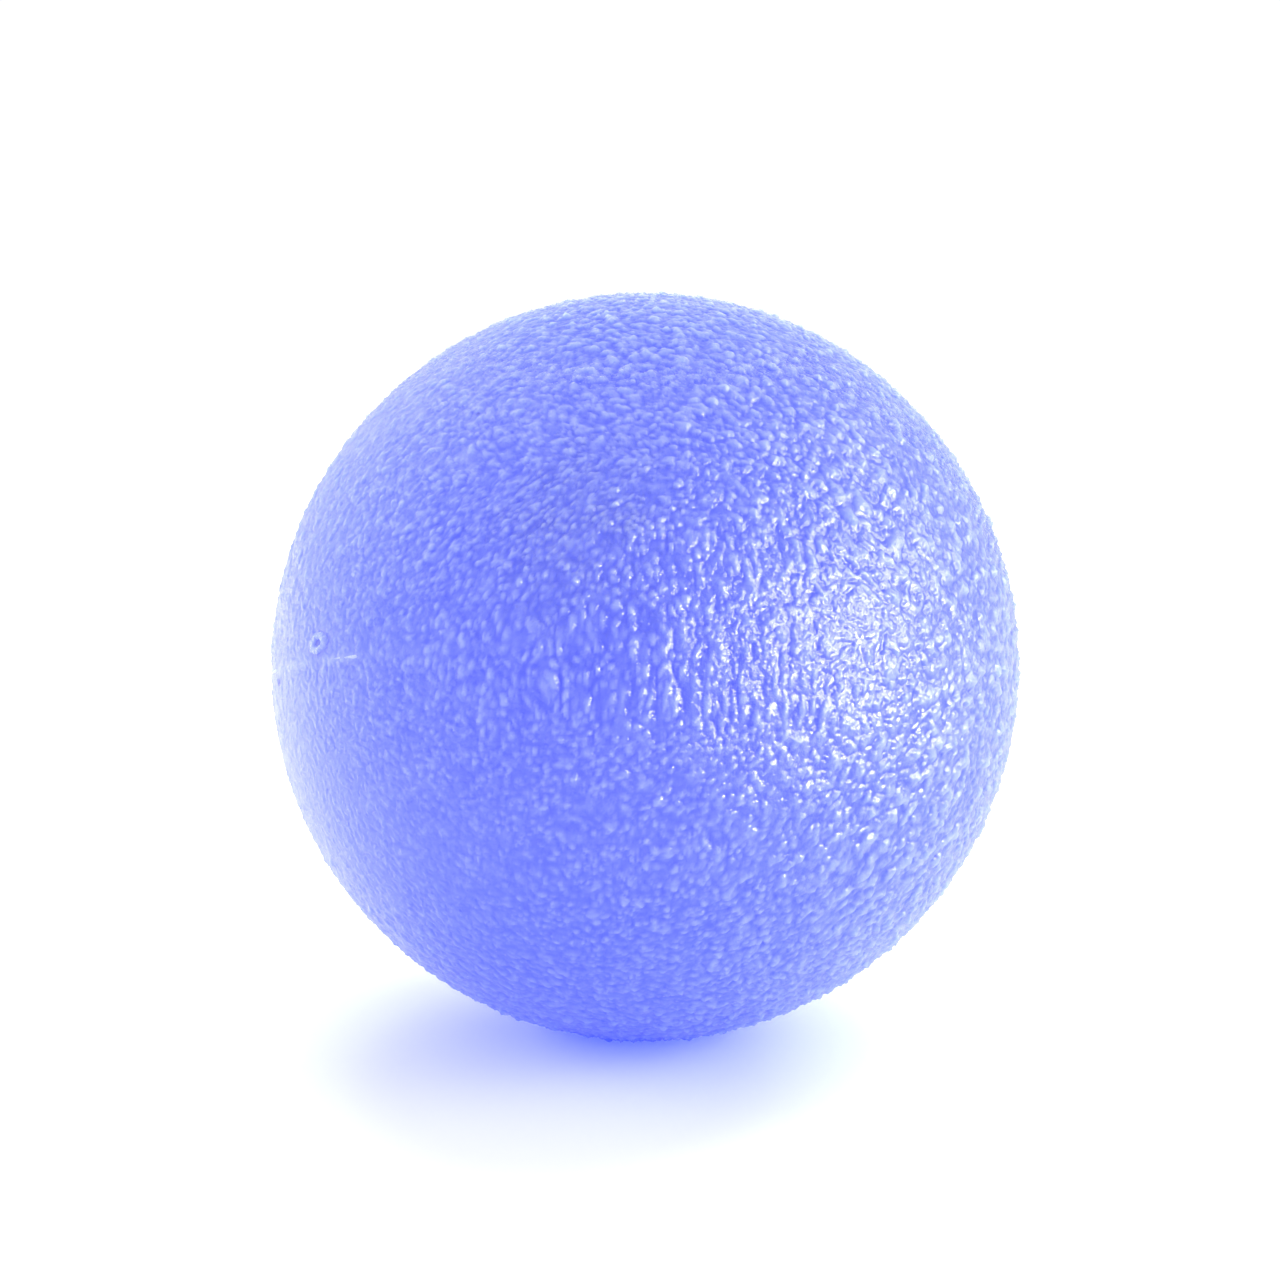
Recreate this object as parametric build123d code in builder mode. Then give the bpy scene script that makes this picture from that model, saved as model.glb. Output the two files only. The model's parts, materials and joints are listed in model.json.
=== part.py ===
"""Gel stress ball: a grained two-half cover bonded round a soft gel core.

The ball lies on a desk. Origin: the centre of the flat that its own weight
presses into its underside. +Z is up. Millimetres throughout.
"""

from build123d import *
import math
import os

os.makedirs("parts", exist_ok=True)

# ---------------------------------------------------------------- dimensions
ball_d = 50.0  # moulded diameter of the cover, under the grain
wall = 6.0  # wall of each half cover
rest_patch_r = 4.5  # radius of the flat that the ball's own weight presses
rest_patch_round = 5.0  # roll-off radius round that flat

bond_t = 0.20  # cured bond between the two half covers
bond_proud = 0.20  # how far the bond's squeeze-out stands over the ball
ridge_w = 0.50  # each half cover rises to the seam over this width
ridge_h = 0.15  # and by this much at the seam

seam_lean_back = 17.0  # degrees: the seam's near side (-Y) is the higher one
seam_lean_left = 1.7  # degrees: the seam's +X side is the higher one

fill_gap = 0.05  # the set gel is this much smaller than its cavity

port_d = 1.2  # needle port that the gel is filled through
port_above_seam = 1.20  # arc from the seam to the port's axis
port_bearing = 212.7  # degrees round the seam's axis, from +X towards +Y
plug_head_w = 2.2  # sealed head, along the seam
plug_head_l = 1.3  # and across it
plug_head_h = 0.14
plug_dimple_d = 0.60
plug_dimple_depth = 0.30

# ------------------------------------------------------------------- derived
ball_r = ball_d / 2
cavity_r = ball_r - wall
centre_z = math.sqrt(ball_r**2 - rest_patch_r**2)
centre = Vector(0, 0, centre_z)
half_bond = bond_t / 2

# The seam's plane holds the ball's centre; its normal is the seam's axis.
lean_y = math.tan(math.radians(seam_lean_back))
lean_x = math.tan(math.radians(seam_lean_left))
seam_axis = Vector(-lean_x, lean_y, 1).normalized()
seam_x = Vector(0, 1, 0).cross(seam_axis).normalized()
seam_plane = Plane(origin=centre, x_dir=seam_x, z_dir=seam_axis)
# A half-plane through the seam's axis: local x runs outwards, y along the axis.
section = Plane(origin=centre, x_dir=seam_x, z_dir=-seam_plane.y_dir)
turn = Axis(centre, seam_axis)

# Where each spherical face ends beside the seam.
ridge_toe = math.sqrt(ball_r**2 - ridge_w**2)
rim_in = math.sqrt(cavity_r**2 - half_bond**2)

# The port's axis: out of the ball's centre, just over the seam.
port_rise = port_above_seam / ball_r
bearing = math.radians(port_bearing)
port_dir = (
    seam_plane.x_dir * (math.cos(bearing) * math.cos(port_rise))
    + seam_plane.y_dir * (math.sin(bearing) * math.cos(port_rise))
    + seam_axis * math.sin(port_rise)
)
port_across = seam_axis.cross(port_dir).normalized()  # along the seam


def port_plane(radius):
    """The plane square to the port's axis at this distance from the centre."""
    return Plane(origin=centre + port_dir * radius, x_dir=port_across, z_dir=port_dir)


# ------------------------------------------------------------- lower half cover
with BuildPart() as lower_cover:
    with BuildSketch(section) as lower_section:
        with BuildLine():
            outer = ThreePointArc(
                (0, -ball_r),
                (ball_r * math.sin(0.8), -ball_r * math.cos(0.8)),
                (ridge_toe, -ridge_w),
            )
            Polyline(
                outer @ 1,
                (ball_r + ridge_h, -half_bond),
                (rim_in, -half_bond),
            )
            ThreePointArc(
                (rim_in, -half_bond),
                (cavity_r * math.sin(0.8), -cavity_r * math.cos(0.8)),
                (0, -cavity_r),
            )
            Line((0, -cavity_r), (0, -ball_r))
        make_face()
    revolve(axis=turn)
    # the flat under the ball, with a soft roll-off into the round
    with BuildSketch(Plane.XY):
        Circle(ball_r)
    extrude(amount=-2, mode=Mode.SUBTRACT)
    patch_edge = lower_cover.edges().filter_by(
        lambda e: abs(e.center().Z) < 0.01 and e.length < 8 * rest_patch_r
    )
    fillet(patch_edge, radius=rest_patch_round)

# ------------------------------------------------------------- upper half cover
with BuildPart() as upper_cover:
    with BuildSketch(section) as upper_section:
        with BuildLine():
            outer = ThreePointArc(
                (0, ball_r),
                (ball_r * math.sin(0.8), ball_r * math.cos(0.8)),
                (ridge_toe, ridge_w),
            )
            Polyline(
                outer @ 1,
                (ball_r + ridge_h, half_bond),
                (rim_in, half_bond),
            )
            ThreePointArc(
                (rim_in, half_bond),
                (cavity_r * math.sin(0.8), cavity_r * math.cos(0.8)),
                (0, cavity_r),
            )
            Line((0, cavity_r), (0, ball_r))
        make_face()
    revolve(axis=turn)
    # the port, right through the wall
    with Locations(port_plane(ball_r + 0.5)):
        Hole(radius=port_d / 2, depth=wall + 1.0)

# --------------------------------------------------------------- bond at the seam
with BuildPart() as seam_bond:
    with BuildSketch(section) as bond_section:
        with BuildLine():
            Polyline(
                (rim_in, -half_bond),
                (ball_r + ridge_h, -half_bond),
                (ball_r + bond_proud, 0),
                (ball_r + ridge_h, half_bond),
                (rim_in, half_bond),
                close=True,
            )
        make_face()
    revolve(axis=turn)

# ------------------------------------------------------------------ gel inside
with BuildPart() as gel_core:
    with Locations(centre):
        Sphere(cavity_r - fill_gap)

# ------------------------------------------------------------------- fill plug
with BuildPart() as fill_plug:
    # the head: an oval dab that lies on the ball's round face
    with BuildSketch(port_plane(ball_r - 0.6)):
        Ellipse(plug_head_w / 2, plug_head_l / 2)
    extrude(amount=1.2)
    with Locations(centre):
        Sphere(ball_r + plug_head_h, mode=Mode.INTERSECT)
        Sphere(ball_r, mode=Mode.SUBTRACT)
    # the stem, from the cavity out into the head
    with BuildSketch(port_plane(cavity_r)):
        Circle(port_d / 2)
    extrude(amount=wall + plug_head_h / 2)
    # the nozzle's mark in the middle of the head
    with Locations(port_plane(ball_r + plug_head_h)):
        Hole(radius=plug_dimple_d / 2, depth=plug_dimple_depth)

# --------------------------------------------------------------------- export
lower_cover.part.label = "lower_cover"
export_step(lower_cover.part, "parts/lower_cover.step")

upper_cover.part.label = "upper_cover"
export_step(upper_cover.part, "parts/upper_cover.step")

seam_bond.part.label = "seam_bond"
export_step(seam_bond.part, "parts/seam_bond.step")

gel_core.part.label = "gel_core"
export_step(gel_core.part, "parts/gel_core.step")

fill_plug.part.label = "fill_plug"
export_step(fill_plug.part, "parts/fill_plug.step")

for built in (lower_cover, upper_cover, seam_bond, gel_core, fill_plug):
    box = built.part.bounding_box()
    print(
        f"{built.part.label}: {built.part.volume / 1000:.3f} cm3,"
        f" {len(built.part.solids())} solid, z {box.min.Z:.3f}..{box.max.Z:.3f}"
    )
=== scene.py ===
"""Looks for the gel stress ball: pebble-grained skin, seam, fill plug, gel core, floor, lights and camera."""

import json
import math

import bpy
import numpy as np
from mathutils import Matrix, Vector

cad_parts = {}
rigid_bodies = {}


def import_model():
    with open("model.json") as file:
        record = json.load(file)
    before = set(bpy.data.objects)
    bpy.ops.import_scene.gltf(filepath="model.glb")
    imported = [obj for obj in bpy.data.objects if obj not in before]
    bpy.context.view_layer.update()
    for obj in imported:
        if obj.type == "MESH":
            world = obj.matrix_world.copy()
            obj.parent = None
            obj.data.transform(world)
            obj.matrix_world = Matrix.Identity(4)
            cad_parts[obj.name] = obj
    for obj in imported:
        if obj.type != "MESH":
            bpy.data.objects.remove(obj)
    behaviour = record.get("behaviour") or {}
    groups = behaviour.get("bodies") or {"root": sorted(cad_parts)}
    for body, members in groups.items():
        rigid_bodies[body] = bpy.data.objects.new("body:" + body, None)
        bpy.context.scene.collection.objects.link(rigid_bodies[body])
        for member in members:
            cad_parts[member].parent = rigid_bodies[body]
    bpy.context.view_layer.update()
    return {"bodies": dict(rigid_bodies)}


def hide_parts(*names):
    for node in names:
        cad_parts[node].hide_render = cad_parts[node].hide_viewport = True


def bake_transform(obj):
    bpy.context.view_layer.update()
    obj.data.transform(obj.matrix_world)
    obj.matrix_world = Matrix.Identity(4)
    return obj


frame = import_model()

# ------------------------------------------------------------------ the frame
MM = 0.001
BALL_R = 25.0  # millimetres, as in the CAD
PATCH_R = 4.5
CAVITY_R = 19.0
CENTRE = np.array([0.0, 0.0, math.sqrt(BALL_R**2 - PATCH_R**2)])
TOP = CENTRE[2] + BALL_R
LEAN_BACK = math.radians(17.0)
LEAN_LEFT = math.radians(1.7)

axis = np.array([-math.tan(LEAN_LEFT), math.tan(LEAN_BACK), 1.0])
axis /= np.linalg.norm(axis)
side = np.cross([0.0, 1.0, 0.0], axis)
side /= np.linalg.norm(side)  # along the seam, to the right
back = np.cross(axis, side)  # along the seam, away from the viewer
# Longitude is 0 at the front (-Y), positive to the right, so front = -back.

PORT_LON = math.radians(212.7 - 270.0)
PORT_LAT = 1.20 / BALL_R


def direction(lon, lat):
    """The unit vector at a longitude and latitude of the seam's own globe."""
    c = np.cos(lat)
    return (
        np.multiply.outer(np.sin(lon) * c, side)
        - np.multiply.outer(np.cos(lon) * c, back)
        + np.multiply.outer(np.sin(lat) * np.ones_like(lon), axis)
    )


def lon_lat(n):
    x, y, z = n @ side, -(n @ back), n @ axis
    return np.arctan2(x, y), np.arcsin(np.clip(z, -1, 1))


# ---------------------------------------------------------------------- noise
def scramble(ix, iy, iz, seed):
    """A random number from 0 to 1 for each cell of a grid."""
    with np.errstate(over="ignore"):
        h = (
            ix.astype(np.uint32) * np.uint32(0x8DA6B343)
            + iy.astype(np.uint32) * np.uint32(0xD8163841)
            + iz.astype(np.uint32) * np.uint32(0xCB1AB31F)
            + np.uint32((seed * 0x9E3779B1) & 0xFFFFFFFF)
        )
        h ^= h >> np.uint32(15)
        h *= np.uint32(0x2C1B3C6D)
        h ^= h >> np.uint32(12)
        h *= np.uint32(0x297A2D39)
        h ^= h >> np.uint32(15)
    return h.astype(np.float32) / np.float32(4294967296.0)


def smooth_noise(p, cell, seed):
    """Smooth noise from -1 to 1 at points p, with features about as large as a cell."""
    g = (p / cell).astype(np.float32)
    f = np.floor(g)
    t = g - f
    t = t * t * t * (t * (t * 6 - 15) + 10)
    base = f.astype(np.int64)
    total = np.zeros(len(p), np.float32)
    for dx in (0, 1):
        wx = t[:, 0] if dx else 1 - t[:, 0]
        for dy in (0, 1):
            wy = t[:, 1] if dy else 1 - t[:, 1]
            for dz in (0, 1):
                wz = t[:, 2] if dz else 1 - t[:, 2]
                total += (
                    wx
                    * wy
                    * wz
                    * scramble(base[:, 0] + dx, base[:, 1] + dy, base[:, 2] + dz, seed)
                )
    return total * 2 - 1


def cells(p, cell, seed, jitter=0.92):
    """Pebbles round scattered seed points: distances, in cells, to the nearest and second nearest seed, a random number for the nearest, and the height on a randomly tilted facet through it."""
    g = (p / cell).astype(np.float32)
    base = np.floor(g).astype(np.int64)
    near = np.full(len(p), 9.0, np.float32)
    second = near.copy()
    mark = np.zeros(len(p), np.float32)
    facet = np.zeros(len(p), np.float32)
    for dx in (-1, 0, 1):
        for dy in (-1, 0, 1):
            for dz in (-1, 0, 1):
                ix, iy, iz = base[:, 0] + dx, base[:, 1] + dy, base[:, 2] + dz
                q = np.zeros(len(p), np.float32)
                slant = np.zeros(len(p), np.float32)
                for k, i in enumerate((ix, iy, iz)):
                    j = scramble(ix, iy, iz, seed * 7 + k + 1)
                    away = (i + 0.5 + jitter * (j - 0.5) - g[:, k]).astype(np.float32)
                    q += away**2
                    slant += away * (scramble(ix, iy, iz, seed * 11 + k + 60) * 2 - 1)
                closer = q < near
                second = np.where(closer, near, np.minimum(second, q))
                mark = np.where(closer, scramble(ix, iy, iz, seed * 7 + 5), mark)
                facet = np.where(closer, slant, facet)
                near = np.where(closer, q, near)
    return np.sqrt(near), np.sqrt(second), mark, facet


def step(x, a, b):
    t = np.clip((x - a) / (b - a), 0, 1)
    return t * t * (3 - 2 * t)


def spot(lon, lat, lon0, lat0, wide, tall):
    """1 at a place on the seam's globe, falling smoothly to 0; all in degrees."""
    d = (np.degrees(lon) - lon0 + 180) % 360 - 180
    return np.exp(-((d / wide) ** 2) - ((np.degrees(lat) - lat0) / tall) ** 2)


# --------------------------------------------------------------------- meshes
def cube_ball(n):
    """Unit directions and quads of a ball made of six evenly divided faces."""
    t = np.tan(np.linspace(-math.pi / 4, math.pi / 4, n + 1))
    u, v = np.meshgrid(t, t, indexing="ij")
    one = np.ones_like(u)
    faces = [
        (one, u, v),
        (-one, -u, v),
        (-u, one, v),
        (u, -one, v),
        (-v, u, one),
        (v, u, -one),
    ]
    points, quads = [], []
    i = np.arange((n + 1) ** 2).reshape(n + 1, n + 1)
    cell = np.stack([i[:-1, :-1], i[1:, :-1], i[1:, 1:], i[:-1, 1:]], -1).reshape(-1, 4)
    for k, f in enumerate(faces):
        points.append(np.stack(f, -1).reshape(-1, 3))
        quads.append(cell + k * (n + 1) ** 2)
    points, quads = np.concatenate(points), np.concatenate(quads)
    points /= np.linalg.norm(points, axis=1, keepdims=True)
    key = np.round(points * 1e6).astype(np.int64)
    _, first, back_to = np.unique(key, axis=0, return_index=True, return_inverse=True)
    points, quads = points[first], back_to.reshape(-1)[quads]
    a, b, c = (points[quads[:, i]] for i in range(3))
    out = np.einsum("ij,ij->i", np.cross(b - a, c - b), a) > 0
    quads[~out] = quads[~out][:, ::-1]
    return points, quads


def mesh_object(name, points, faces, attributes=None):
    """A smooth-shaded mesh object. Points are in millimetres."""
    me = bpy.data.meshes.new(name)
    points = np.asarray(points, float) * MM
    me.vertices.add(len(points))
    me.vertices.foreach_set("co", points.astype(np.float32).ravel())
    if isinstance(faces, np.ndarray):
        flat, sizes = faces.ravel(), np.full(len(faces), faces.shape[1])
    else:
        flat = np.array([i for f in faces for i in f])
        sizes = np.array([len(f) for f in faces])
    me.loops.add(len(flat))
    me.loops.foreach_set("vertex_index", flat.astype(np.int32))
    me.polygons.add(len(sizes))
    me.polygons.foreach_set(
        "loop_start", np.concatenate([[0], np.cumsum(sizes)[:-1]]).astype(np.int32)
    )
    me.update(calc_edges=True)
    me.validate()
    me.polygons.foreach_set("use_smooth", np.ones(len(me.polygons), bool))
    for key, value in (attributes or {}).items():
        me.attributes.new(key, "FLOAT", "POINT").data.foreach_set(
            "value", np.asarray(value, np.float32)
        )
    ob = bpy.data.objects.new(name, me)
    bpy.context.scene.collection.objects.link(ob)
    return ob


# ------------------------------------------------------------ the skin's grain
def grain(n):
    """Height of the moulded grain over the smooth ball, in millimetres, with masks for the material."""
    lon, lat = lon_lat(n)
    p = n * BALL_R
    high = p @ axis  # millimetres above the seam's plane

    # Near the seam the mould dragged the grain up and down, mostly at the front.
    drag = np.clip(
        1.0 * spot(lon, lat, 19, -9, 20, 10)
        + 0.80 * spot(lon, lat, -18, -2, 24, 15)
        + 0.60 * spot(lon, lat, 8, 16, 24, 14)
        + 0.35 * spot(lon, lat, 0, -36, 40, 18)
        + 0.75 * spot(lon, lat, 150, -8, 40, 10)
        + 0.55 * spot(lon, lat, -120, 6, 30, 10),
        0,
        1,
    )
    q = p + np.outer((high + 3.0) * (-0.62 * drag), axis)

    # Slow wandering of the pattern, so that no row of pebbles is straight.
    wander = np.stack([smooth_noise(p, 2.3, s) for s in (11, 12, 13)], 1)
    twist = np.stack([smooth_noise(q, 0.70, s) for s in (14, 15, 16)], 1)
    curl = np.stack([smooth_noise(q, 0.33, s) for s in (17, 18, 19)], 1)
    q = q + 0.34 * wander + 0.12 * twist + 0.045 * curl

    # How coarse the grain is: the largest pebbles are on the right.
    coarse = np.clip(
        1.0 * spot(lon, lat, 45, 14, 22, 20)
        + 0.9 * spot(lon, lat, 48, -20, 26, 24)
        + 0.45 * spot(lon, lat, 20, 45, 40, 20)
        + 0.6 * spot(lon, lat, 200, 20, 50, 30)
        + 0.4 * spot(lon, lat, -140, -30, 40, 30),
        0,
        1,
    )
    coarse = np.clip(coarse + 0.25 * smooth_noise(p, 6.0, 23), 0, 1)

    f1, f2, mark, facet = cells(q, 0.90, 3)
    island = step(f2 - f1, 0.02, 0.40)
    big = np.exp(-((f1 / 0.40) ** 2))
    big = (0.26 * island + 1.0 * big) * (0.30 + 1.20 * mark)
    g1, g2, mark2, facet2 = cells(q + 31.7, 0.46, 5)
    islet = step(g2 - g1, 0.0, 0.42)
    small = np.exp(-((g1 / 0.42) ** 2))
    small = (0.25 * islet + 0.95 * small) * (0.25 + 1.35 * mark2)
    h1, h2, mark3, facet3 = cells(q - 57.1, 1.32, 9)
    slab = step(h2 - h1, 0.02, 0.32)
    large = np.exp(-((h1 / 0.38) ** 2))
    large = (0.24 * slab + 1.0 * large) * (0.35 + 1.1 * mark3)
    crumple = 1 - 2 * np.abs(smooth_noise(q, 0.56, 24))
    fine = smooth_noise(q, 0.27, 21)
    lumps = smooth_noise(p, 1.6, 22)

    height = (
        (0.54 + 0.10 * coarse) * (1 - 0.72 * drag) * (big - 0.36) * 0.240
        + 0.75 * (1 - 0.6 * drag) * island * facet * 0.085
        + coarse * (1 - 0.40 * drag) * (large - 0.36) * 0.200
        + coarse * slab * facet3 * 0.070
        + (1.0 - 0.35 * coarse) * (1 + 0.45 * drag) * (small - 0.36) * 0.135
        + (1.0 - 0.30 * coarse) * islet * facet2 * 0.075
        + 0.022 * crumple
        + 0.026 * fine
        + 0.024 * lumps
    )

    # Drawn lines across the seam where the drag is strongest.
    zero = np.zeros_like(lon)
    comb = smooth_noise(np.stack([lon * BALL_R / 0.29, high / 3.2, zero], 1), 1.0, 41)
    comb2 = smooth_noise(np.stack([lon * BALL_R / 0.50, high / 4.6, zero], 1), 1.0, 42)
    lines = drag * step(-high, -2.5, 0.6) * step(high, -11.0, -5.0)
    height += lines * (0.050 * comb + 0.046 * comb2)

    # The grain is shallower on the left and below.
    calm = np.clip(
        0.78 * spot(lon, lat, -66, -12, 32, 40)
        + 0.26 * spot(lon, lat, -32, -34, 26, 22)
        + 0.26 * spot(lon, lat, -20, -62, 70, 26)
        + 0.35 * spot(lon, lat, -60, 50, 30, 25),
        0,
        0.8,
    )
    height *= 1 - calm
    return height, drag, coarse, calm, lon, lat, high


def flatten_under(p):
    """Presses the underside on to the desk, with a soft roll-off round the contact patch."""
    z = p[:, 2]
    low = 0.5 * (z + np.sqrt(z * z + 0.16**2)) - 0.06
    p[:, 2] = np.where(z < 1.0, np.maximum(low * (1 - step(z, 0.4, 1.0)) + z * step(z, 0.4, 1.0), 0.01), z)
    return p


def seam_show(lon):
    """How much of the seam's bond stands out, from 0 to 1, round the ball."""
    d = np.degrees(lon)

    def run(a, b, soft=1.6):
        return step(d, a - soft, a + soft) * (1 - step(d, b - soft, b + soft))

    ring = np.stack([np.cos(lon) * 9, np.sin(lon) * 9, np.zeros_like(lon)], 1)
    ragged = 0.5 + 0.5 * smooth_noise(ring, 1.0, 51)
    shown = (
        0.95 * run(-86, -60, 2.0)
        + 1.0 * run(-54.5, -46.0, 1.6)
        + 0.36 * run(28, 43, 3.0)
        + 0.30 * run(60, 90, 4.0)
        + 0.65 * run(112, 176, 4.0)
        + 0.60 * (run(-179.9, -150, 4.0) + run(-128, -92, 4.0))
    )
    return np.clip(shown, 0, 1) * (0.55 + 0.45 * ragged)


N = 256
directions, quads = cube_ball(N)
height, drag, coarse, calm, lon, lat, high = grain(directions)

# Beside the seam both covers rise a little, and the grain dies away on the crest.
near_seam = np.exp(-((high / 0.30) ** 2))
show = seam_show(lon)
height = height * (1 - near_seam * (0.25 + 0.55 * show)) + near_seam * (
    0.015 + 0.085 * show
)

# A smooth bed round the fill plug.
port = direction(np.array([PORT_LON]), np.array([PORT_LAT]))[0]
across = np.cross(axis, port)
across /= np.linalg.norm(across)
up = np.cross(port, across)
dx, dy = directions @ across * BALL_R, directions @ up * BALL_R
facing = directions @ port > 0
r_port = np.where(facing, np.hypot(dx / 1.15, dy / 0.72), 99.0)
bed = 1 - step(r_port, 1.0, 1.9)
height = height * (1 - bed) - 0.01 * bed


def flat(lon_c, lat_c):
    """Millimetres across and up from a place on the seam's globe, 99 on the far side."""
    c = direction(np.radians([lon_c]), np.radians([lat_c]))[0]
    x_dir = np.cross(axis, c)
    x_dir /= np.linalg.norm(x_dir)
    y_dir = np.cross(c, x_dir)
    near = directions @ c > 0.9
    return (
        np.where(near, directions @ x_dir * BALL_R, 99.0),
        np.where(near, directions @ y_dir * BALL_R, 99.0),
    )


# Where the rubber met in the mould, just over the seam on the right: two curls and two drawn creases.
ragged = 1 + 0.25 * smooth_noise(directions * BALL_R, 0.6, 61)
for lon_c, lat_c, wide, tall, turn, ridge, rise in (
    (34.0, 4.2, 1.05, 0.80, -24.0, 0.18, 0.120),
    (34.2, 4.0, 1.95, 1.50, -24.0, 0.18, 0.060),
    (44.8, 6.4, 0.75, 0.90, 10.0, 0.22, 0.110),
    (-38.0, 30.0, 0.95, 0.75, 30.0, 0.22, 0.040),
    (188.0, -14.0, 1.20, 0.85, 15.0, 0.24, 0.070),
):
    ex, ey = flat(lon_c, lat_c)
    t = math.radians(turn)
    rx = (ex * math.cos(t) + ey * math.sin(t)) / wide
    ry = (-ex * math.sin(t) + ey * math.cos(t)) / tall
    ring = np.hypot(rx, ry)
    quiet = np.exp(-(np.clip(ring, 0, 9) / 1.20) ** 4) * 0.62
    from_ridge = (ring - 1) * (wide + tall) / 2 / ridge
    height = (
        height * (1 - quiet)
        - 0.035 * quiet
        + rise * ragged * np.exp(-(from_ridge**2))
        - 0.40 * rise * np.exp(-((np.abs(from_ridge) - 1.7) ** 2))
    )
for x0, y0, x1, y1, ridge, rise in (
    (-2.1, 2.6, 1.9, -1.3, 0.17, 0.110),
    (-1.4, 2.9, 2.5, -0.8, 0.16, 0.100),
    (-2.9, 2.0, -1.6, -1.0, 0.17, 0.070),
):
    ex, ey = flat(33.0, 8.0)
    along = np.clip(
        ((ex - x0) * (x1 - x0) + (ey - y0) * (y1 - y0))
        / ((x1 - x0) ** 2 + (y1 - y0) ** 2),
        0,
        1,
    )
    off = np.hypot(ex - x0 - along * (x1 - x0), ey - y0 - along * (y1 - y0))
    height += rise * ragged * np.exp(-((off / ridge) ** 2))
    height -= 0.45 * rise * np.exp(-((off / ridge - 1.8) ** 2))

# A dark speck in the skin at the seam's left end, and a few scattered pinholes.
speck = np.zeros(len(directions))
for lon_c, lat_c, wide, tall in (
    (-74.9, -1.9, 0.45, 0.19),
    (-31.0, 38.0, 0.10, 0.09),
    (63.0, -33.0, 0.11, 0.10),
    (151.0, 22.0, 0.12, 0.13),
    (-128.0, -12.0, 0.10, 0.12),
):
    ex, ey = flat(lon_c, lat_c)
    hole = np.exp(-((np.hypot(ex / wide, ey / tall)) ** 2))
    speck = np.maximum(speck, hole)
    height -= 0.10 * hole

# Painted shade and painted light: the skin's colour is made a little darker low on the left and a little paler above.
painted_shade_low_left = np.clip(
    spot(lon, lat, -28, -24, 28, 24) + 0.8 * spot(lon, lat, -45, -52, 45, 22), 0, 1
)
painted_light_above = spot(lon, lat, -10, 36, 26, 16)

# The skin is duller round the back, where the ball has been handled.
dull = 0.36 * step(directions @ np.array([0.17, 0.85, 0.50]), 0.12, 0.66)
dull = np.maximum(dull, 0.30 * step(directions[:, 2], 0.83, 0.95))

points = CENTRE + directions * (BALL_R + height)[:, None]
points = flatten_under(points)
# The skin's colour follows this height: darker in the grooves and paler on the pebbles. This is painted shade and
# painted light on the grain, carried in the "grain" attribute.
height_shade = np.clip((height + 0.09) / 0.20, 0, 1)
height_shade = np.clip(height_shade - 0.20 * painted_shade_low_left + 0.10 * painted_light_above, 0, 1)
cover = mesh_object(
    "cover",
    points,
    quads,
    {"grain": height_shade, "speck": speck, "dull": dull},
)

# ------------------------------------------------------------------ materials


def material(name):
    m = bpy.data.materials.new(name)
    m.use_nodes = True
    nt = m.node_tree
    nt.nodes.clear()
    out = nt.nodes.new("ShaderNodeOutputMaterial")
    p = nt.nodes.new("ShaderNodeBsdfPrincipled")
    nt.links.new(p.outputs[0], out.inputs["Surface"])
    return m, nt, p


def node(nt, kind, inputs=None, **settings):
    n = nt.nodes.new(kind)
    for key, value in settings.items():
        setattr(n, key, value)
    for key, value in (inputs or {}).items():
        if isinstance(value, bpy.types.NodeSocket):
            nt.links.new(value, n.inputs[key])
        else:
            n.inputs[key].default_value = value
    return n


def attribute(nt, name):
    return node(nt, "ShaderNodeAttribute", attribute_name=name).outputs["Fac"]


def ramp(nt, value, stops):
    """Maps a number to colours."""
    n = node(nt, "ShaderNodeValToRGB", {"Fac": value})
    r = n.color_ramp
    while len(r.elements) < len(stops):
        r.elements.new(0.5)
    for e, (at, colour) in zip(r.elements, stops):
        e.position = at
        e.color = (*colour, 1) if len(colour) == 3 else colour
    return n.outputs["Color"]


def remap(nt, value, a, b, c, d):
    return node(
        nt,
        "ShaderNodeMapRange",
        {"Value": value, 1: a, 2: b, 3: c, 4: d},
    ).outputs[0]


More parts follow.
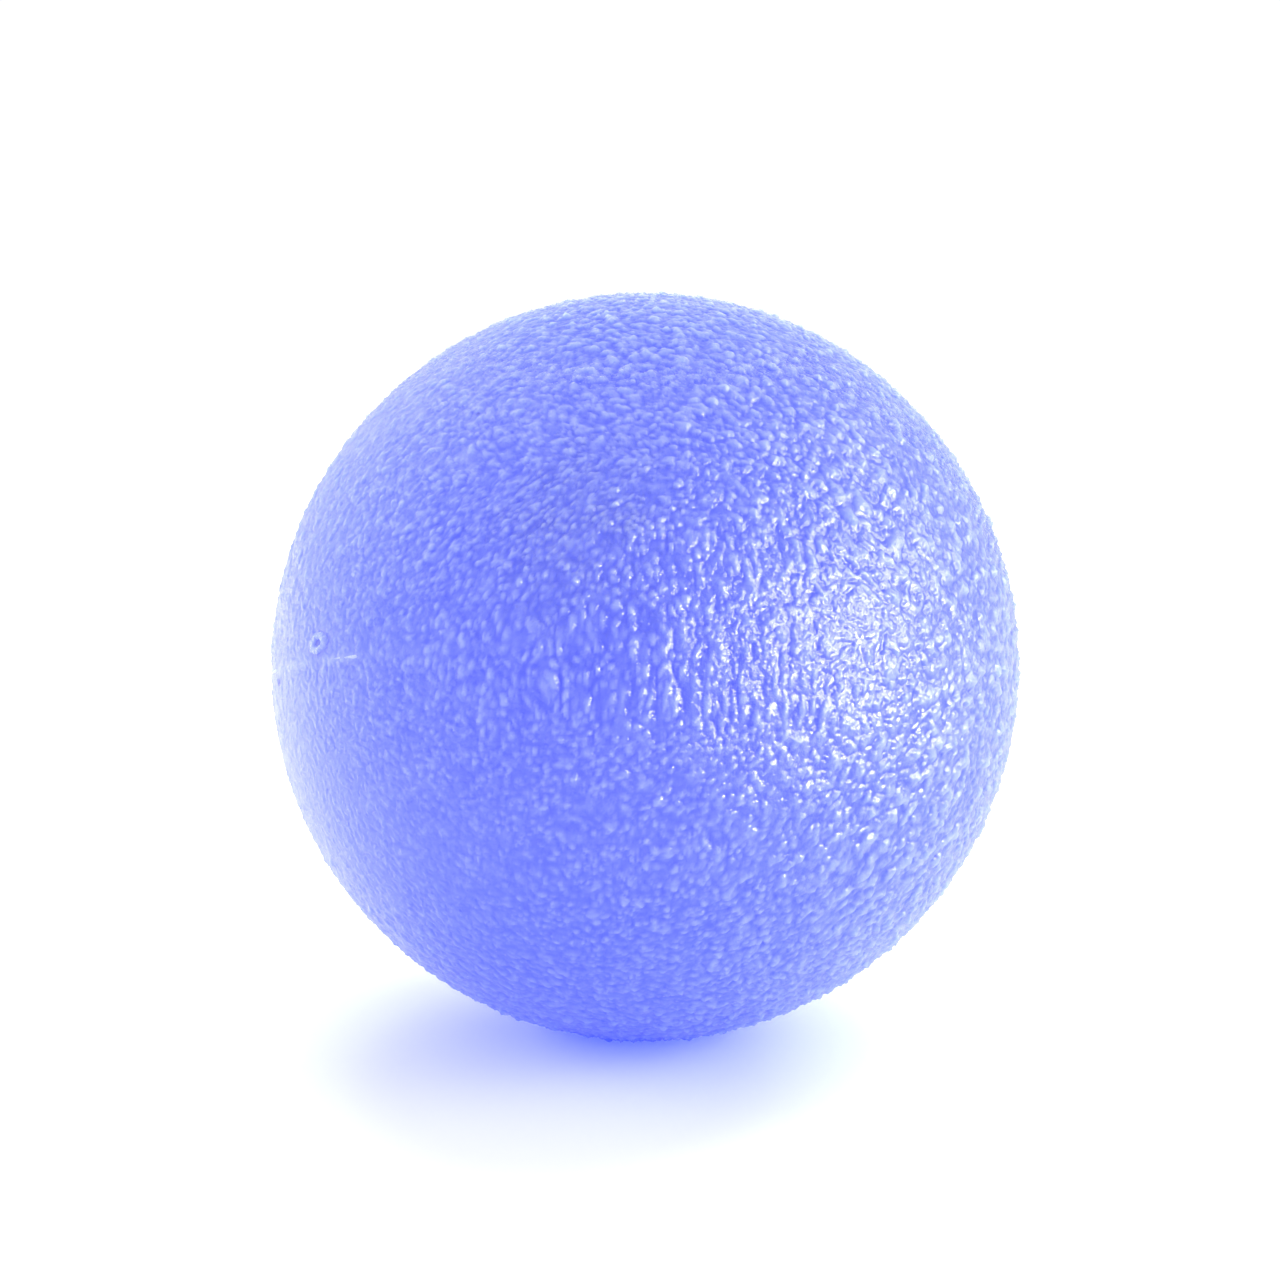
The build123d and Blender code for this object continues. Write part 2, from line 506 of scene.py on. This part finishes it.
def rubber(name, valley, dome, radius=(0.6, 0.7, 1.0), scale=0.0035, rough=(0.24, 0.42), spotted=False, depth=1.0):
    m, nt, p = material(name)
    where = node(nt, "ShaderNodeTexCoord").outputs["Object"]
    height_shade = attribute(nt, "grain")
    mottle = node(
        nt,
        "ShaderNodeTexNoise",
        {"Vector": where, "Scale": 260.0, "Detail": 3.0, "Roughness": 0.6},
    ).outputs["Fac"]
    # The colour runs from the low colour to the high colour with the height in the "grain" attribute. On the skin and
    # the plug this is painted shade in the hollows and painted light on the raised parts.
    base = ramp(nt, height_shade, [(0.0, valley), (1.0, dome)])
    tint = ramp(nt, mottle, [(0.3, (0.93, 0.95, 0.985)), (0.7, (1.0, 1.0, 1.0))])
    colour = node(
        nt,
        "ShaderNodeMix",
        {0: 1.0, "A": base, "B": tint},
        data_type="RGBA",
        blend_type="MULTIPLY",
    )
    # The two colour inputs share names with the number inputs, so link them by index.
    for s, value in ((6, base), (7, tint)):
        nt.links.new(value, colour.inputs[s])
    if spotted:
        dark = node(nt, "ShaderNodeMix", data_type="RGBA")
        nt.links.new(attribute(nt, "speck"), dark.inputs[0])
        nt.links.new(colour.outputs[2], dark.inputs[6])
        dark.inputs[7].default_value = (0.02, 0.025, 0.22, 1)
        nt.links.new(dark.outputs[2], p.inputs["Base Color"])
    else:
        nt.links.new(colour.outputs[2], p.inputs["Base Color"])
    tooth = node(
        nt,
        "ShaderNodeTexNoise",
        {"Vector": where, "Scale": 4000.0, "Detail": 1.0, "Roughness": 0.5},
    ).outputs["Fac"]
    nib = node(
        nt,
        "ShaderNodeTexVoronoi",
        {"Vector": where, "Scale": 2900.0, "Randomness": 1.0},
        feature="SMOOTH_F1",
    ).outputs["Distance"]
    b1 = node(
        nt,
        "ShaderNodeBump",
        {"Height": tooth, "Strength": 0.9, "Distance": 0.00007},
    )
    b2 = node(
        nt,
        "ShaderNodeBump",
        {"Height": nib, "Strength": 1.0, "Distance": -0.00009, "Normal": b1.outputs[0]},
    )
    nt.links.new(b2.outputs[0], p.inputs["Normal"])
    gloss = remap(nt, tooth, 0.35, 0.65, *rough)
    if spotted:
        gloss = node(
            nt, "ShaderNodeMath", {0: gloss, 1: attribute(nt, "dull")}, operation="ADD"
        ).outputs[0]
        level = remap(nt, attribute(nt, "dull"), 0.12, 0.36, 0.5, 0.12)
        nt.links.new(level, p.inputs["Specular IOR Level"])
    nt.links.new(gloss, p.inputs["Roughness"])
    p.inputs["Subsurface Weight"].default_value = depth
    p.inputs["Sheen Weight"].default_value = 0.22
    p.inputs["Sheen Roughness"].default_value = 0.35
    p.inputs["Sheen Tint"].default_value = (0.86, 0.90, 1.0, 1)
    p.inputs["Subsurface Radius"].default_value = radius
    p.inputs["Subsurface Scale"].default_value = scale
    p.inputs["IOR"].default_value = 1.6
    return m


skin = rubber("blue_gel_rubber", (0.136, 0.184, 0.90), (0.288, 0.350, 0.955), rough=(0.08, 0.26), spotted=True)
cover.data.materials.append(skin)
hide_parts("lower_cover", "upper_cover")

# ------------------------------------------------------------- seam and plug
def rings_mesh(name, rings, closed, attributes=None):
    """Joins loops of points, one after another, into quads. Loops are closed round; the row is closed too, or capped."""
    count, around_n = len(rings), len(rings[0])
    pts = np.concatenate(rings)
    faces = []
    for i in range(count if closed else count - 1):
        j = (i + 1) % count
        for k in range(around_n):
            m = (k + 1) % around_n
            faces.append(
                (i * around_n + k, i * around_n + m, j * around_n + m, j * around_n + k)
            )
    if not closed:
        faces.append(tuple(reversed(range(around_n))))
        faces.append(tuple((count - 1) * around_n + k for k in range(around_n)))
    return mesh_object(name, pts, faces, attributes)


# The bond: a thin web between the two covers, with a bead of squeeze-out that comes and goes round the ball.
M = 1440
turn = np.linspace(-math.pi, math.pi, M, endpoint=False)
shown = seam_show(turn)
loop = np.stack([np.cos(turn) * 25, np.sin(turn) * 25, np.zeros(M)], 1)
rag = smooth_noise(loop, 0.55, 52)
half = 0.085 + 0.075 * shown + 0.02 * rag
crest = BALL_R + 0.015 + 0.085 * shown + (-0.17 + 0.22 * shown) + 0.018 * rag * shown
drift = 0.05 * smooth_noise(loop, 2.2, 53) * shown
section = [
    (np.full(M, CAVITY_R + 0.02), np.full(M, -0.09)),
    (np.full(M, 24.55), np.full(M, -0.09)),
    (crest - 0.16, drift - half),
    (crest - 0.07, drift - half * 0.82),
    (crest - 0.015, drift - half * 0.42),
    (crest, drift),
    (crest - 0.015, drift + half * 0.42),
    (crest - 0.07, drift + half * 0.82),
    (crest - 0.16, drift + half),
    (np.full(M, 24.55), np.full(M, 0.09)),
    (np.full(M, CAVITY_R + 0.02), np.full(M, 0.09)),
]
flat_dir = direction(turn, np.zeros(M))
rings = [
    CENTRE + flat_dir * r[:, None] + np.outer(z, axis) for r, z in section
]
bond = rings_mesh("seam_bond_line", rings, True)
bond.data.attributes.new("grain", "FLOAT", "POINT").data.foreach_set(
    "value", np.tile(0.5 + 0.5 * rag, len(rings)).astype(np.float32)
)
bond.data.materials.append(
    rubber("pale_bond", (0.30, 0.37, 0.93), (0.48, 0.55, 0.97), rough=(0.22, 0.38), depth=0.0)
)
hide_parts("seam_bond")

# The plug: an oval dab with a raised ring and the nozzle's pit, and its stem through the cover.
K = 96
t = np.linspace(0, 2 * math.pi, K, endpoint=False)
profile = [
    (0.02, -0.30),
    (0.10, -0.30),
    (0.17, -0.27),
    (0.22, -0.16),
    (0.28, -0.03),
    (0.38, 0.06),
    (0.50, 0.115),
    (0.62, 0.135),
    (0.74, 0.120),
    (0.85, 0.080),
    (0.94, 0.035),
    (1.02, -0.005),
    (1.06, -0.05),
    (1.00, -0.16),
]
wobble = 1 + 0.07 * np.sin(2 * t + 0.6) + 0.05 * np.sin(3 * t + 2.0) + 0.03 * np.sin(7 * t)
uneven = 1 + 0.30 * np.sin(t + 1.1) + 0.16 * np.sin(4 * t + 0.3) + 0.10 * np.sin(9 * t + 1)
# The plug's colour follows its height: painted shade down in the nozzle's pit and painted light on the raised ring.
rings, height_shades = [], []
for r, h in profile:
    x = 1.15 * r * wobble * np.cos(t)
    y = 0.72 * r * wobble * np.sin(t)
    d = port + np.outer(x / BALL_R, across) + np.outer(y / BALL_R, up)
    d /= np.linalg.norm(d, axis=1, keepdims=True)
    hh = h * (uneven if h > 0 else 1)
    rings.append(CENTRE + d * (BALL_R + hh * np.ones(K))[:, None])
    height_shades.append(np.full(K, min(1.0, max(0.0, (h + 0.3) / 0.42))))
for r, depth in ((0.60, 0.6), (0.60, 2.4), (0.60, 4.2), (0.60, 5.9)):
    rings.append(
        CENTRE
        + port * (BALL_R - depth)
        + np.outer(r * np.cos(t), across)
        + np.outer(r * np.sin(t), up)
    )
    height_shades.append(np.full(K, 0.5))
plug = rings_mesh("fill_plug_head", rings, False, {"grain": np.concatenate(height_shades)})
plug.data.materials.append(
    rubber("plug_rubber", (0.06, 0.08, 0.52), (0.30, 0.37, 0.93), rough=(0.20, 0.34), depth=0.0)
)
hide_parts("fill_plug")

# The gel, with the faint flow waves of a poured filling.
core_n, core_q = cube_ball(48)
ripple = smooth_noise(core_n * CAVITY_R, 5.0, 71)
core = mesh_object(
    "gel_filling",
    CENTRE + core_n * (CAVITY_R - 0.10 + 0.03 * ripple)[:, None],
    core_q,
    {"grain": 0.5 + 0.5 * ripple},
)
core.data.materials.append(
    rubber("clear_blue_gel", (0.16, 0.22, 0.93), (0.24, 0.30, 0.95), rough=(0.08, 0.16))
)
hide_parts("gel_core")

# ---------------------------------------------------------------- the squeeze
def swelling():
    """Spreads a piece sideways as the upper half comes down, so that the ball keeps its volume. At rest it changes nothing."""
    g = bpy.data.node_groups.new("swelling", "GeometryNodeTree")
    g.interface.new_socket("Geometry", in_out="INPUT", socket_type="NodeSocketGeometry")
    g.interface.new_socket("Geometry", in_out="OUTPUT", socket_type="NodeSocketGeometry")
    n_in = g.nodes.new("NodeGroupInput")
    n_out = g.nodes.new("NodeGroupOutput")

    def make(kind, inputs=(), **settings):
        n = g.nodes.new(kind)
        for key, value in settings.items():
            setattr(n, key, value)
        for i, value in enumerate(inputs):
            if isinstance(value, bpy.types.NodeSocket):
                g.links.new(value, n.inputs[i])
            elif value is not None:
                n.inputs[i].default_value = value
        return n

    def sums(operation, *values):
        return make("ShaderNodeMath", values, operation=operation).outputs[0]

    upper = make("GeometryNodeObjectInfo", transform_space="ORIGINAL")
    upper.inputs["Object"].default_value = frame["bodies"]["upper_half"]
    lower = make("GeometryNodeObjectInfo", transform_space="ORIGINAL")
    lower.inputs["Object"].default_value = frame["bodies"]["lower_half"]
    apart = make(
        "ShaderNodeVectorMath",
        (lower.outputs["Location"], upper.outputs["Location"]),
        operation="DISTANCE",
    ).outputs["Value"]
    squeezed = sums("DIVIDE", apart, 0.015)
    rest_height = make("GeometryNodeInputNamedAttribute", data_type="FLOAT")
    rest_height.inputs["Name"].default_value = "rest_height"
    off_middle = sums(
        "ABSOLUTE",
        sums("SUBTRACT", sums("MULTIPLY", rest_height.outputs["Attribute"], 2.0), 1.0),
    )
    spread = sums(
        "ADD", sums("MULTIPLY", sums("POWER", off_middle, 1.6), 0.29), 0.16
    )
    wider = sums("ADD", sums("MULTIPLY", spread, squeezed), 1.0)
    place = make("GeometryNodeInputPosition").outputs[0]
    split = make("ShaderNodeSeparateXYZ", (place,))
    joined = make(
        "ShaderNodeCombineXYZ",
        (
            sums("MULTIPLY", split.outputs[0], wider),
            sums("MULTIPLY", split.outputs[1], wider),
            split.outputs[2],
        ),
    )
    moved = make("GeometryNodeSetPosition")
    g.links.new(n_in.outputs[0], moved.inputs["Geometry"])
    g.links.new(joined.outputs[0], moved.inputs["Position"])
    g.links.new(moved.outputs[0], n_out.inputs[0])
    return g


swell = swelling()
for ob in (cover, bond, plug, core):
    co = np.empty(len(ob.data.vertices) * 3, np.float32)
    ob.data.vertices.foreach_get("co", co)
    ob.data.attributes.new("rest_height", "FLOAT", "POINT").data.foreach_set(
        "value", np.clip(co[2::3] / (TOP * MM), 0, 1)
    )
    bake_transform(ob)
    ob.modifiers.new("swelling", "NODES").node_group = swell

# ------------------------------------------------------- floor, light, camera
floor_me = bpy.data.meshes.new("floor")
s = 0.26
floor_me.from_pydata(
    [(-s, -s, 0), (s, -s, 0), (s, s, 0), (-s, s, 0)], [], [(0, 1, 2, 3)]
)
floor = bpy.data.objects.new("floor", floor_me)
bpy.context.scene.collection.objects.link(floor)
m, nt, p = material("white_sweep")
p.inputs["Base Color"].default_value = (0.83, 0.83, 0.93, 1)
p.inputs["Roughness"].default_value = 0.9
p.inputs["Specular IOR Level"].default_value = 0.0
# Painted light and painted shadow: the floor itself glows evenly outside one fixed oval patch round the ball and not
# inside it, so the patch reads as the ball's shadow; the oval stays put whatever the ball and the lamps do.
spread = node(
    nt,
    "ShaderNodeMapping",
    {
        "Vector": node(nt, "ShaderNodeTexCoord").outputs["Object"],
        "Location": (0.0055 / 0.0135, 0.014 / 0.023, 0),
        "Scale": (1 / 0.0135, 1 / 0.023, 0),
    },
)
away = node(nt, "ShaderNodeVectorMath", {0: spread.outputs[0]}, operation="LENGTH")
painted_floor_glow = node(
    nt,
    "ShaderNodeMapRange",
    {"Value": away.outputs["Value"], 1: 0.75, 2: 1.50, 3: 0.0, 4: 0.21},
    interpolation_type="SMOOTHSTEP",
)
p.inputs["Emission Color"].default_value = (0.95, 1.0, 1.0, 1)
nt.links.new(painted_floor_glow.outputs[0], p.inputs["Emission Strength"])
floor_me.materials.append(m)


def softbox(name, at, aim, size, power, colour=(1, 1, 1), size_y=None):
    light = bpy.data.lights.new(name, "AREA")
    light.shape = "RECTANGLE"
    light.size = size
    light.size_y = size_y or size
    light.energy = power
    light.color = colour
    ob = bpy.data.objects.new(name, light)
    ob.location = at
    ob.rotation_mode = "QUATERNION"
    ob.rotation_quaternion = (Vector(aim) - Vector(at)).to_track_quat("-Z", "Y")
    bpy.context.scene.collection.objects.link(ob)
    return ob


aim = Vector(CENTRE * MM)


def around(azimuth, elevation, distance=0.5):
    """A place round the ball. Azimuth 0 is in front (-Y), positive to the right."""
    a, e = math.radians(azimuth), math.radians(elevation)
    return aim + distance * Vector(
        (math.sin(a) * math.cos(e), -math.cos(a) * math.cos(e), math.sin(e))
    )


# Broad light that shapes the ball, and two boxes that only gleam on the grain.
for name, azimuth, elevation, size, power in (
    ("right", 90, 9, 0.30, 1.9),
    ("left_behind", -120, 9, 0.26, 1.7),
    ("behind", 180, 14, 0.30, 1.1),
):
    softbox(name, around(azimuth, elevation), aim, size, power).visible_glossy = False
over = softbox("over", around(-140, 60), aim, 0.30, 0.9)
over.visible_glossy = False
ball_only = bpy.data.collections.new("lit_ball")
for ob in (cover, bond, plug, core):
    ball_only.objects.link(ob)
over.light_linking.receiver_collection = ball_only
for name, azimuth, elevation, size, size_y, power in (
    ("gleam", 84, 22, 0.24, 0.36, 2.0),
    ("gleam_front", 40, 16, 0.13, 0.20, 1.3),
    ("gleam_low", 66, 4, 0.24, 0.09, 2.1),
):
    box = softbox(name, around(azimuth, elevation), aim, size, power, size_y=size_y)
    box.visible_diffuse = False

# A light for the desk alone, from the right: the ball's shadow leans to the left.
lit = bpy.data.collections.new("lit_desk")
lit.objects.link(floor)
desk_light = softbox("desk_light", around(138, 56), aim, 0.24, 0.9)
desk_light.light_linking.receiver_collection = lit

# Light that comes through the gel and falls on the desk: blue, and only on the floor.
nothing = bpy.data.collections.new("casts_nothing")
nothing.objects.link(floor)
for name, at, size, power, colour in (
    ("through_gel", (-0.004, -0.012, 0.16), 0.05, 0.13, (0.0, 0.03, 1.0)),
    ("through_foot", (0.006, -0.007, 0.022), 0.012, 0.0048, (0.25, 0.34, 1.0)),
):
    through = softbox(name, at, (at[0], at[1], 0), size, power, colour)
    through.visible_glossy = False
    through.visible_camera = False
    through.light_linking.receiver_collection = lit
    through.light_linking.blocker_collection = nothing

world = bpy.data.worlds.new("studio")
bpy.context.scene.world = world
world.use_nodes = True
wt = world.node_tree
bg = wt.nodes["Background"]
bg.inputs[0].default_value = (1, 1, 1, 1)
ray = wt.nodes.new("ShaderNodeLightPath")
dim = wt.nodes.new("ShaderNodeMapRange")
wt.links.new(ray.outputs["Is Diffuse Ray"], dim.inputs["Value"])
dim.inputs[3].default_value = 1.05  # seen directly, or mirrored in the skin
wt.links.new(dim.outputs[0], bg.inputs[1])
# As light, the room is brighter above and darker on the viewer's side.
way = wt.nodes.new("ShaderNodeTexCoord")
parts = wt.nodes.new("ShaderNodeSeparateXYZ")
wt.links.new(way.outputs["Generated"], parts.inputs[0])
above = wt.nodes.new("ShaderNodeMapRange")
above.inputs[1].default_value, above.inputs[2].default_value = 0.0, 1.0
above.inputs[3].default_value, above.inputs[4].default_value = 0.84, 1.30
wt.links.new(parts.outputs[2], above.inputs[0])
front = wt.nodes.new("ShaderNodeMapRange")
front.inputs[1].default_value, front.inputs[2].default_value = -1.0, 0.1
front.inputs[3].default_value, front.inputs[4].default_value = 0.66, 1.0
wt.links.new(parts.outputs[1], front.inputs[0])
both = wt.nodes.new("ShaderNodeMath")
both.operation = "MULTIPLY"
wt.links.new(above.outputs[0], both.inputs[0])
wt.links.new(front.outputs[0], both.inputs[1])
wt.links.new(both.outputs[0], dim.inputs[4])

scene = bpy.context.scene
scene.view_settings.view_transform = "Standard"
scene.view_settings.look = "None"
scene.view_settings.exposure = 0.0
scene.view_settings.gamma = 1.0

ELEVATION = math.radians(13.0)
DISTANCE = 0.36
HALF = math.tan(math.asin(BALL_R * MM / DISTANCE)) / (2 * 373 / 1280)
camera_data = bpy.data.cameras.new("camera")
camera_data.sensor_width = 36
camera_data.lens = 18 / HALF
camera_data.clip_start, camera_data.clip_end = 0.01, 20
camera = bpy.data.objects.new("camera", camera_data)
toward = Vector((0, math.cos(ELEVATION), -math.sin(ELEVATION)))
camera_up = Vector((0, math.sin(ELEVATION), math.cos(ELEVATION)))
# The ball's centre stands 4.8 right of and 26.5 below the middle of a 1280 frame.
camera.location = aim - toward * DISTANCE
look = (
    aim
    + Vector((1, 0, 0)) * (-4.8 / 640 * HALF * DISTANCE)
    + camera_up * (26.5 / 640 * HALF * DISTANCE)
    - camera.location
)
camera.rotation_mode = "QUATERNION"
camera.rotation_quaternion = look.to_track_quat("-Z", "Y")
scene.collection.objects.link(camera)
scene.camera = camera
